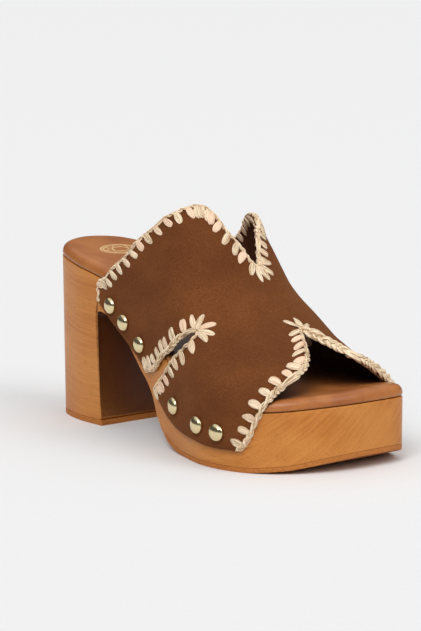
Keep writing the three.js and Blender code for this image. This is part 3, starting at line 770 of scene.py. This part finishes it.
def upper_rows(side):
    """Rows of the suede's grid on one side: turn, and where the edges lie along the shoe."""
    tip = SLIT_TIP[side]
    middle = (UPPER_EDGES[f"rear_{side}"][0] + UPPER_EDGES[f"front_{side}"][0]) / 2
    below = tip + (1 - tip) * np.linspace(0, 1, ROWS_BELOW)[1:] ** ROWS_CLOSER
    rows = []
    for drop in [*np.linspace(0, tip, ROWS_ABOVE), *below]:
        down = (drop - tip) / (1 - tip)
        seam = middle + (slit_lines[f"{side}_rear"](0.0) - middle) * drop / tip
        opened = drop > tip
        rows.append((
            SIGN[side] * drop,
            x_at(edge_lines[f"rear_{side}"](drop)),
            x_at(slit_lines[f"{side}_rear"](down) if opened else seam),
            x_at(slit_lines[f"{side}_front"](down) if opened else seam),
            x_at(edge_lines[f"front_{side}"](drop)),
        ))
    return rows


def suede_grid():
    """Points of the outer face as two blocks of rows, behind and in front of the slits."""
    rows = np.array([*upper_rows("outer")[::-1], *upper_rows("inner")[1:]], float)
    turn = rows[:, 0][:, None]
    back_w = np.linspace(0, 1, REAR_COLUMNS + 1)
    front_w = np.linspace(0, 1, FRONT_COLUMNS + 1)
    back = rows[:, 1][:, None] * (1 - back_w) + rows[:, 2][:, None] * back_w
    front = rows[:, 3][:, None] * (1 - front_w) + rows[:, 4][:, None] * front_w
    return [(x, np.broadcast_to(turn, x.shape)) for x in (back, front)]


def make_upper():
    """Suede band of even wall with softly rounded cut edges."""
    faces, outer, inner, first = [], [], [], 0
    for x, turn in suede_grid():
        place, normal = upper_face(x, turn), upper_normal(x, turn)
        place = place + normal * relief(place)[..., None]
        outer.append(place.reshape(-1, 3))
        inner.append((place - normal * UPPER_WALL).reshape(-1, 3))
        faces += grid_faces(*x.shape, first)
        first += x.size
    outer, inner = np.concatenate(outer), np.concatenate(inner)
    skin = bmesh.new()
    tag = skin.verts.layers.int.new("twin")
    verts = [skin.verts.new(p) for p in outer]
    for i, vert in enumerate(verts):
        vert[tag] = i
    for face in faces:
        skin.faces.new([verts[i] for i in face])
    bmesh.ops.remove_doubles(skin, verts=skin.verts, dist=JOIN_WITHIN)
    skin.verts.ensure_lookup_table()
    skin.verts.index_update()
    twin = [vert[tag] for vert in skin.verts]
    count = len(twin)
    points = [*outer[twin], *inner[twin]]
    faces = [[v.index for v in f.verts] for f in skin.faces]
    skins = len(faces)
    faces += [[v + count for v in reversed(f)] for f in faces]
    rims = {}
    for edge in skin.edges:
        if not edge.is_boundary:
            continue
        loop = edge.link_loops[0]
        a, b = loop.vert.index, loop.link_loop_next.vert.index
        centre = edge.link_faces[0].calc_center_median()
        out = unit(np.array((loop.vert.co + loop.link_loop_next.vert.co) / 2 - centre))
        for v in (a, b):
            rims.setdefault(v, []).append(out)
        faces.append(("rim", a, b))
    ring = {}
    for v, outs in rims.items():
        thick = points[v] - points[v + count]
        out = unit(sum(outs) / len(outs))
        out = unit(out - unit(thick) * (out @ unit(thick)))
        ring[v] = [v]
        for w, bulge in RIM_PROFILE:
            points.append(points[v] - thick * w + out * RIM_BULGE * bulge)
            ring[v].append(len(points) - 1)
        ring[v].append(v + count)
    closed = []
    for face in faces:
        if face[0] != "rim":
            closed.append(face)
            continue
        one, two = ring[face[1]], ring[face[2]]
        closed += [(two[k], one[k], one[k + 1], two[k + 1]) for k in range(len(one) - 1)]
    skin.free()
    band = piece("suede_band", points, closed, SUEDE, ["upper"], joined=False)
    # the inner skin takes the darker flesh side: painted shade for the inside of the shoe
    band.data.materials.append(FLESH_SIDE)
    for face in band.data.polygons[skins : 2 * skins]:
        face.material_index = 1


# Raffia along the cut edges
PATH_STEPS = 2400
EDGE_SPAN = 0.0012  # of the edge on either side that gives a plait its direction
LOOP_SPAN = 0.003  # the same for a loop
FACE_SHARES = np.linspace(0.22, 0.97, 260)
FACE_TURNS = np.linspace(-1, 1, 360)


def face_tree():
    """Nearest places on the plain outer face, beyond the slits too."""
    x, turn = np.meshgrid(x_at(FACE_SHARES), FACE_TURNS)
    points = upper_face(x, turn)
    points = points + upper_normal(x, turn) * relief(points)[..., None]
    return BVHTree.FromPolygons(points.reshape(-1, 3).tolist(), grid_faces(*x.shape))


SUEDE_FACE = face_tree()


class EdgePath:
    """A cut edge of the suede, measured along its length. hand says on which side the suede lies."""

    def __init__(self, x, turn, hand):
        self.x, self.turn, self.hand = x, turn, hand
        self.point = upper_face(x, turn)
        self.run = np.concatenate([[0], np.cumsum(np.linalg.norm(np.diff(self.point, axis=0), axis=1))])
        self.length = self.run[-1]

    def frame(self, run, span=EDGE_SPAN):
        """Place, direction along the edge, direction out of the face, and direction away from the suede."""
        x, turn = (np.interp(run, self.run, v) for v in (self.x, self.turn))
        place, normal = upper_face(x, turn), upper_normal(x, turn)
        before, after = (
            np.stack([np.interp(run + way * span, self.run, self.point[:, k]) for k in range(3)], -1)
            for way in (-1, 1)
        )
        along = unit(after - before)
        away = unit(np.cross(along, normal)) * self.hand
        return place, along, normal, away

    def drop(self, run):
        return np.abs(np.interp(run, self.run, self.turn))


def opening_path(end, hand):
    turn = np.linspace(-1, 1, PATH_STEPS)
    drop = np.abs(turn)
    share = np.where(turn < 0, edge_lines[f"{end}_outer"](drop), edge_lines[f"{end}_inner"](drop))
    return EdgePath(x_at(share), turn, hand)


def slit_path(side):
    step = np.linspace(-1, 1, PATH_STEPS)
    down = np.abs(step)
    tip = SLIT_TIP[side]
    share = np.where(step < 0, slit_lines[f"{side}_rear"](down), slit_lines[f"{side}_front"](down))
    return EdgePath(x_at(share), SIGN[side] * (tip + (1 - tip) * down), -SIGN[side])


PATHS = {
    "collar": opening_path("rear", -1), "toe": opening_path("front", 1),
    "outer_slit": slit_path("outer"), "inner_slit": slit_path("inner"),
}


# Plaits. half_width: of the strands' way to and fro; strand: half width of one strand; tilt: degrees that
# the plait is turned from the cut edge to the outer face; deep: how far its middle lies behind that face
PLAITS = {
    "collar": {"half_width": 0.0008, "strand": 0.0007, "tilt": 28, "deep": 0.0006},
    "toe": {"half_width": 0.0014, "strand": 0.00105, "tilt": 22, "deep": 0.0007},
    "outer_slit": {"half_width": 0.00095, "strand": 0.0008, "tilt": 32, "deep": 0.0005},
    "inner_slit": {"half_width": 0.00095, "strand": 0.0008, "tilt": 32, "deep": 0.0005},
}
PLAIT_PITCH = 0.0135
PLAIT_HALF_DEPTH = 0.00055
PLAIT_STAND = 0.0007  # the middle of the plait stands off the cut edge by this
STRAND_THICK = 0.0005
STRANDS = 3
STRAND_SIDES = 10
STRAND_STEP = 0.0005
STRAND_FOLDS = 3
STRAND_FOLD_DEPTH = 0.3
STRAND_APART = 3.7  # shift of the fibre pattern from strand to strand
STRAND_TONES = (0.1, 0.6)
PLAIT_END = 0.001
# Slow waves that a hand leaves in a plait: share, and metres along it for each radian of the wave
SWAY = ((0.14, 0.0043), (0.1, 0.0027))
SWELL = ((0.14, 0.0061),)
WAVE_STARTS = 6  # radians


def uneven(run, waves, rng):
    """A sum of waves along a strand, each from a start of its own."""
    return sum(share * np.sin(run / length + rng.uniform(0, WAVE_STARTS)) for share, length in waves)


def make_plait(name):
    """Three flat strands plaited over the cut edge, pulled a little unevenly by hand."""
    path, sizes = PATHS[name], PLAITS[name]
    rng = random.Random(name)
    run = np.arange(PLAIT_END, path.length - PLAIT_END, STRAND_STEP)
    place, along, normal, away = path.frame(run)
    tilt = math.radians(sizes["tilt"])
    flat = unit(normal * math.cos(tilt) - away * math.sin(tilt))
    lift = unit(np.cross(flat, along))
    lift = lift * np.sign(np.sum(lift * (normal + away), axis=1, keepdims=True))
    centre = place + lift * PLAIT_STAND - normal * sizes["deep"]
    sway = uneven(run, SWAY, rng)
    swell = 1 + uneven(run, SWELL, rng)
    points, faces, runs, tones = [], [], [], []
    for k in range(STRANDS):
        phase = 2 * math.pi * (run / PLAIT_PITCH + k / STRANDS + sway)
        line = centre + flat * (sizes["half_width"] * swell * np.sin(phase))[:, None]
        line = line + lift * (PLAIT_HALF_DEPTH * swell * np.sin(2 * phase))[:, None]
        ahead_line = unit(np.gradient(line, axis=0))
        wide = unit(np.cross(lift, ahead_line))
        thick = np.cross(ahead_line, wide)
        first, count = len(points), len(run)
        for j in range(STRAND_SIDES):
            turn = 2 * math.pi * j / STRAND_SIDES
            fold = 1 + STRAND_FOLD_DEPTH * math.sin(STRAND_FOLDS * turn + k)
            aside, up = sizes["strand"] * math.cos(turn), STRAND_THICK * math.sin(turn) * fold
            points.extend(line + wide * aside + thick * up)
            runs.extend([(r, turn * sizes["strand"], k * STRAND_APART) for r in run])
        tones.extend([rng.uniform(*STRAND_TONES)] * (count * STRAND_SIDES))
        for j in range(STRAND_SIDES):
            a, b = first + j * count, first + (j + 1) % STRAND_SIDES * count
            faces += [(a + i, b + i, b + i + 1, a + i + 1) for i in range(count - 1)]
        faces.append([first + j * count for j in range(STRAND_SIDES)])
        faces.append([first + j * count + count - 1 for j in range(STRAND_SIDES)])
    raffia_piece(f"raffia_plait_{name}", points, faces, runs, tones)


def raffia_piece(name, points, faces, runs, tones):
    """A raffia mesh that carries, at each point, its place along and across the strand and its tone."""
    mesh = piece(name, points, faces, RAFFIA, joined=False).data
    mesh.attributes.new("run", "FLOAT_VECTOR", "POINT").data.foreach_set("vector", np.ravel(runs))
    mesh.attributes.new("tone", "FLOAT", "POINT").data.foreach_set("value", tones)


# Leaf-shaped loops in groups. from_run and to_run: where along the edge, equal for a fan; count: how many;
# lean and lean_end: degrees off square of the first and last; reach and wide: length and width of each
LOOPS = {
    "collar": table(
        "from_run to_run count lean lean_end reach wide",
        (0.010, 0.019, 3, 28, 5, 0.0062, 0.0036),
        (0.0255, 0.0900, 10, 12, 8, 0.0071, 0.0038),
        (0.0945, 0.1035, 4, 2, 26, 0.0066, 0.0042),
        (0.110, 0.1375, 5, 20, 20, 0.0074, 0.0042),
        (0.1435, 0.1435, 4, -50, 56, 0.0092, 0.0036),
        (0.149, 0.170, 5, -8, -14, 0.0066, 0.0040),
        (0.1750, 0.1870, 5, -26, 22, 0.0066, 0.0042),
        (0.193, 0.252, 9, -8, -12, 0.0071, 0.0038),
        (0.256, 0.262, 2, 0, -20, 0.0062, 0.0036),
    ),
    "toe": table(
        "from_run to_run count lean lean_end reach wide",
        (0.005, 0.049, 7, -14, 6, 0.0072, 0.0043),
        (0.057, 0.065, 2, -6, -26, 0.0080, 0.0054),
        (0.0735, 0.0945, 4, -36, -46, 0.0090, 0.0034),
        (0.1015, 0.1015, 4, -80, 44, 0.0098, 0.0034),
        (0.107, 0.128, 4, 46, 36, 0.0078, 0.0040),
        (0.136, 0.143, 2, 26, 6, 0.0078, 0.0050),
        (0.151, 0.193, 7, -4, 16, 0.0078, 0.0044),
    ),
    "outer_slit": table(
        "from_run to_run count lean lean_end reach wide",
        (0.004, 0.035, 6, -34, -24, 0.0080, 0.0045),
        (0.0425, 0.0505, 2, -12, -8, 0.0084, 0.0045),
        (0.0605, 0.0605, 5, -85, 82, 0.0092, 0.0037),
        (0.0695, 0.0775, 2, 10, 0, 0.0076, 0.0046),
        (0.0855, 0.1090, 4, -12, -20, 0.0074, 0.0043),
        (0.1135, 0.1165, 2, -26, 0, 0.0062, 0.0038),
    ),
    "inner_slit": table(
        "from_run to_run count lean lean_end reach wide",
        (0.004, 0.031, 5, -30, -20, 0.0080, 0.0045),
        (0.038, 0.048, 3, -8, -4, 0.0084, 0.0045),
        (0.0550, 0.0550, 5, -85, 82, 0.0092, 0.0037),
        (0.0635, 0.097, 6, 14, -16, 0.0076, 0.0044),
    ),
}
# On which side of each loop its tip lies
TIP_SIDE = {"collar": -1, "toe": -1, "outer_slit": 1, "inner_slit": -1}
RUN_JITTER = 0.0004
LEAN_JITTER = 5
REACH_JITTER = 0.08
WIDE_JITTER = 0.1
LEAF_STEPS = 11
LEAF_SIDES = 16
LEAF_RIDGES = 2.5  # folds along each loop
LEAF_FOLD = (0.7, 0.55)  # middle thickness and depth of the folds, as shares
LEAF_ROUND = 0.7  # less than 1 gives fuller edges than an ellipse
LEAF_BACK = 0.3  # the side on the suede is this thick
LEAF_BOW = 0.1
LEAF_SKEW = (0.2, 0.85)
FIBRE_SEEDS = 90
# A loop between its foot and its tip. blunt and pointed: width of the two forms that each loop is a mix of
LEAF_PROFILE = table(
    "at blunt pointed high thick",
    (0, 0.5, 0.7, 1, 0.9), (0.18, 0.7, 0.9, 1, 1), (0.4, 0.95, 1, 0.8, 1), (0.62, 1, 0.84, 0.5, 1),
    (0.8, 0.9, 0.56, 0.2, 0.9), (0.93, 0.62, 0.28, -0.3, 0.7), (1, 0.25, 0.1, -0.9, 0.4),
)
leaf_blunt, leaf_pointed, leaf_high, leaf_thick = (
    line_through(LEAF_PROFILE, "at", c) for c in ("blunt", "pointed", "high", "thick")
)
LEAF_HIGH = 0.0005
LEAF_THICK = 0.0008
LEAF_FOOT = 0.0004
LEAF_SLANT = 0.35  # the end of a loop is cut this much askew, as a share of its width
FAN_FOOT = 0.003  # the loops of a fan start up to this far along the edge from its middle
INSIDE_REACH = 0.8  # the loops show shorter on the inside


def leaf(foot, direction, reach, wide, side, inside, tip_side, rng):
    """One loop of raffia from the edge to its needle hole, laid on the face: folded along, its tip askew."""
    bow, skew, shift = rng.uniform(-LEAF_BOW, LEAF_BOW), rng.uniform(*LEAF_SKEW) * tip_side, rng.random()
    seed, mix = rng.random() * FIBRE_SEEDS, rng.random()
    even, folded = LEAF_FOLD
    sideways = np.cross(direction, side)
    points, runs = [], []
    for u in np.linspace(0, 1, LEAF_STEPS):
        bent = bow * reach * u * (1 - u) * 2 + skew * wide * u**3 / 2
        spot, normal, _, _ = SUEDE_FACE.find_nearest(Vector(foot + direction * reach * u + sideways * bent))
        spot, normal = np.array(spot), np.array(normal)
        normal = normal if normal @ side > 0 else -normal
        if inside:
            spot, normal = spot - normal * UPPER_WALL, -normal
        across = unit(np.cross(normal, direction))
        full = wide * (leaf_blunt(u) * mix + leaf_pointed(u) * (1 - mix))
        for k in range(LEAF_SIDES):
            turn = 2 * math.pi * k / LEAF_SIDES
            place, rise = math.cos(turn), math.sin(turn)
            fold = even + folded * math.cos(math.pi * LEAF_RIDGES * place + shift * 2)
            body = rise**LEAF_ROUND * fold if rise > 0 else rise * LEAF_BACK
            high = leaf_high(u) * LEAF_HIGH + leaf_thick(u) * LEAF_THICK * body
            slant = direction * skew * LEAF_SLANT * u**2
            points.append(spot + (across / 2 + slant) * full * place + normal * high)
            runs.append((u * reach, place * wide, seed))
    faces = tube_faces(LEAF_STEPS, LEAF_SIDES)
    faces.append(list(range(LEAF_SIDES)))
    faces.append(list(range((LEAF_STEPS - 1) * LEAF_SIDES, LEAF_STEPS * LEAF_SIDES)))
    return points, faces, runs


def make_loops(name):
    """Loops along one edge, on the outside and shorter on the inside, each a little different."""
    path, rows = PATHS[name], LOOPS[name]
    rng = random.Random(name + "_loops")
    points, faces, runs, tones = [], [], [], []
    for i, count in enumerate(rows["count"].astype(int)):
        for k in range(count):
            w = k / (count - 1) if count > 1 else 0.5
            run = rows["from_run"][i] * (1 - w) + rows["to_run"][i] * w
            run += rng.uniform(-RUN_JITTER, RUN_JITTER)
            lean = rows["lean"][i] * (1 - w) + rows["lean_end"][i] * w
            lean = math.radians(lean + rng.uniform(-LEAN_JITTER, LEAN_JITTER))
            place, along, normal, away = (v[0] for v in path.frame(np.array([run]), LOOP_SPAN))
            direction = unit(-away * math.cos(lean) + along * math.sin(lean))
            if rows["from_run"][i] == rows["to_run"][i]:
                place = path.frame(np.array([run + math.sin(lean) * FAN_FOOT]))[0][0]
            foot = place + away * LEAF_FOOT
            reach = rows["reach"][i] * rng.uniform(1 - REACH_JITTER, 1 + REACH_JITTER)
            wide = rows["wide"][i] * rng.uniform(1 - WIDE_JITTER, 1 + WIDE_JITTER)
            above_nails = path.drop(run) < WALL_START
            for inside in (False, True) if above_nails else (False,):
                far = reach * (INSIDE_REACH if inside else 1)
                made = leaf(foot, direction, far + LEAF_FOOT, wide, normal, inside, TIP_SIDE[name], rng)
                first = len(points)
                points += made[0]
                faces += [[first + v for v in face] for face in made[1]]
                runs += made[2]
                tones += [rng.random()] * len(made[0])
    raffia_piece(f"raffia_loops_{name}", points, faces, runs, tones)


# Dome nails
DOME_SIDES = 40
DOME_STEPS = 12
DOME_UNDER = ((0.2, -0.0006), (0.93, -0.0006), (1, -0.0002))  # share of the radius, and height over the suede


def make_nail(name, side):
    seat, outward = nail_seat(name, side)
    radius, rise = DOME_DIAMETER / 2, DOME_HEIGHT - DOME_RIM
    profile = [*((radius * share, height) for share, height in DOME_UNDER), (radius, DOME_RIM)]
    for turn in np.linspace(0, math.pi / 2, DOME_STEPS)[1:]:
        profile.append((radius * math.cos(turn), DOME_RIM + rise * math.sin(turn)))
    level = unit(np.cross(outward, (0, 0, 1)))
    turn = np.linspace(0, 2 * math.pi, DOME_SIDES + 1)[:-1, None]
    ring = level * np.cos(turn) + np.array([0, 0, 1]) * np.sin(turn)
    points = np.concatenate([seat + ring * across + outward * height for across, height in profile])
    faces = tube_faces(len(profile), DOME_SIDES)
    faces.append(list(range(DOME_SIDES)))
    piece(f"dome_{side}_{name}", points, faces, BRASS, [f"nail_{side}_{name}"], sharp=50)


make_wood()
make_rubber()
make_insole()
make_upper()
for name in PATHS:
    make_plait(name)
    make_loops(name)
for side in SIGN:
    for name in NAILS:
        make_nail(name, side)


# Floor, light and camera
FLOOR_RADIUS = 12.0
FLOOR_SIDES = 96


def make_floor():
    """Pale matt paper."""
    material, tree, shader = finish("pale_paper", {"Roughness": 0.9, "Specular IOR Level": 0.2})
    tooth = stretched_noise(tree, (0.004, 0.004, 0.004))
    pale = {0: tooth, 6: linear("#E7E7E7"), 7: linear("#EAEAEA")}
    tree.links.new(add(tree, "ShaderNodeMix", COLOURS, pale).outputs[2], shader.inputs["Base Color"])
    turns = np.linspace(0, 2 * math.pi, FLOOR_SIDES + 1)[:-1]
    points = [(FLOOR_RADIUS * math.cos(turn), FLOOR_RADIUS * math.sin(turn), 0) for turn in turns]
    mesh = bpy.data.meshes.new("floor")
    mesh.from_pydata(points, [], [list(range(FLOOR_SIDES))])
    mesh.materials.append(material)
    floor = bpy.data.objects.new("floor", mesh)
    bpy.context.scene.collection.objects.link(floor)


def far_light(name, come_from, spread_angle, strength):
    """A wide, far studio light: even over the whole floor, with soft shadows."""
    lamp = bpy.data.lights.new(name, "SUN")
    lamp.angle = math.radians(spread_angle)
    lamp.energy = strength
    made = bpy.data.objects.new(name, lamp)
    made.rotation_mode = "QUATERNION"
    made.rotation_quaternion = Vector(come_from).to_track_quat("Z", "Y")
    bpy.context.scene.collection.objects.link(made)


# The studio's walls are dark, its ceiling is one wide softbox
WALL_STRENGTH = 0.09
CEILING_STRENGTH = 0.89
WALL_TOP = 0.4  # sines of the heights in the sky between which wall passes into ceiling
CEILING_START = 0.75


def make_world():
    world = bpy.data.worlds.new("studio")
    world.use_nodes = True
    tree = world.node_tree
    tree.nodes.clear()
    way = add(tree, "ShaderNodeTexCoord").outputs["Generated"]
    height = add(tree, "ShaderNodeSeparateXYZ", sockets={0: way}).outputs[2]
    limits = {
        "Value": height, "From Min": WALL_TOP, "From Max": CEILING_START,
        "To Min": WALL_STRENGTH, "To Max": CEILING_STRENGTH,
    }
    strength = add(tree, "ShaderNodeMapRange", SOFT_STEP, limits)
    light = add(tree, "ShaderNodeBackground", sockets={"Color": linear("#FBFBFC"), "Strength": strength})
    add(tree, "ShaderNodeOutputWorld", sockets={"Surface": light.outputs[0]})
    bpy.context.scene.world = world


make_floor()
make_world()
far_light("left_light", come_from=(0.45, -0.85, 0.9), spread_angle=30, strength=1.5)
far_light("right_light", come_from=(0.95, 0.2, 0.75), spread_angle=40, strength=0.92)
bpy.context.scene.view_settings.view_transform = "Standard"

# The camera stands where the photograph was taken from, and turns to the middle of the one shoe
CAMERA_AZIMUTH = math.radians(41.7)
CAMERA_ELEVATION = math.radians(9.43)
CAMERA_DISTANCE = 1.3804
CAMERA_FROM = Vector((0.085, 0.04, 0.04))
CAMERA_ASIDE = 0.014
CAMERA_UP = 0.0163
CAMERA_AIM = (0.0855, 0.0005, 0.0655)
CAMERA_LENS = 143.0
CAMERA_CLIP = (0.05, 50)


def make_camera():
    back = Vector((
        math.cos(CAMERA_AZIMUTH) * math.cos(CAMERA_ELEVATION),
        -math.sin(CAMERA_AZIMUTH) * math.cos(CAMERA_ELEVATION),
        math.sin(CAMERA_ELEVATION),
    ))
    aside = Vector((math.sin(CAMERA_AZIMUTH), math.cos(CAMERA_AZIMUTH), 0))
    lens = bpy.data.cameras.new("camera")
    lens.lens = CAMERA_LENS
    lens.clip_start, lens.clip_end = CAMERA_CLIP
    camera = bpy.data.objects.new("camera", lens)
    moved = aside * CAMERA_ASIDE + back.cross(aside) * CAMERA_UP
    camera.location = CAMERA_FROM + back * CAMERA_DISTANCE + moved
    camera.rotation_mode = "QUATERNION"
    camera.rotation_quaternion = (Vector(CAMERA_AIM) - camera.location).to_track_quat("-Z", "Y")
    bpy.context.scene.collection.objects.link(camera)
    bpy.context.scene.camera = camera


make_camera()
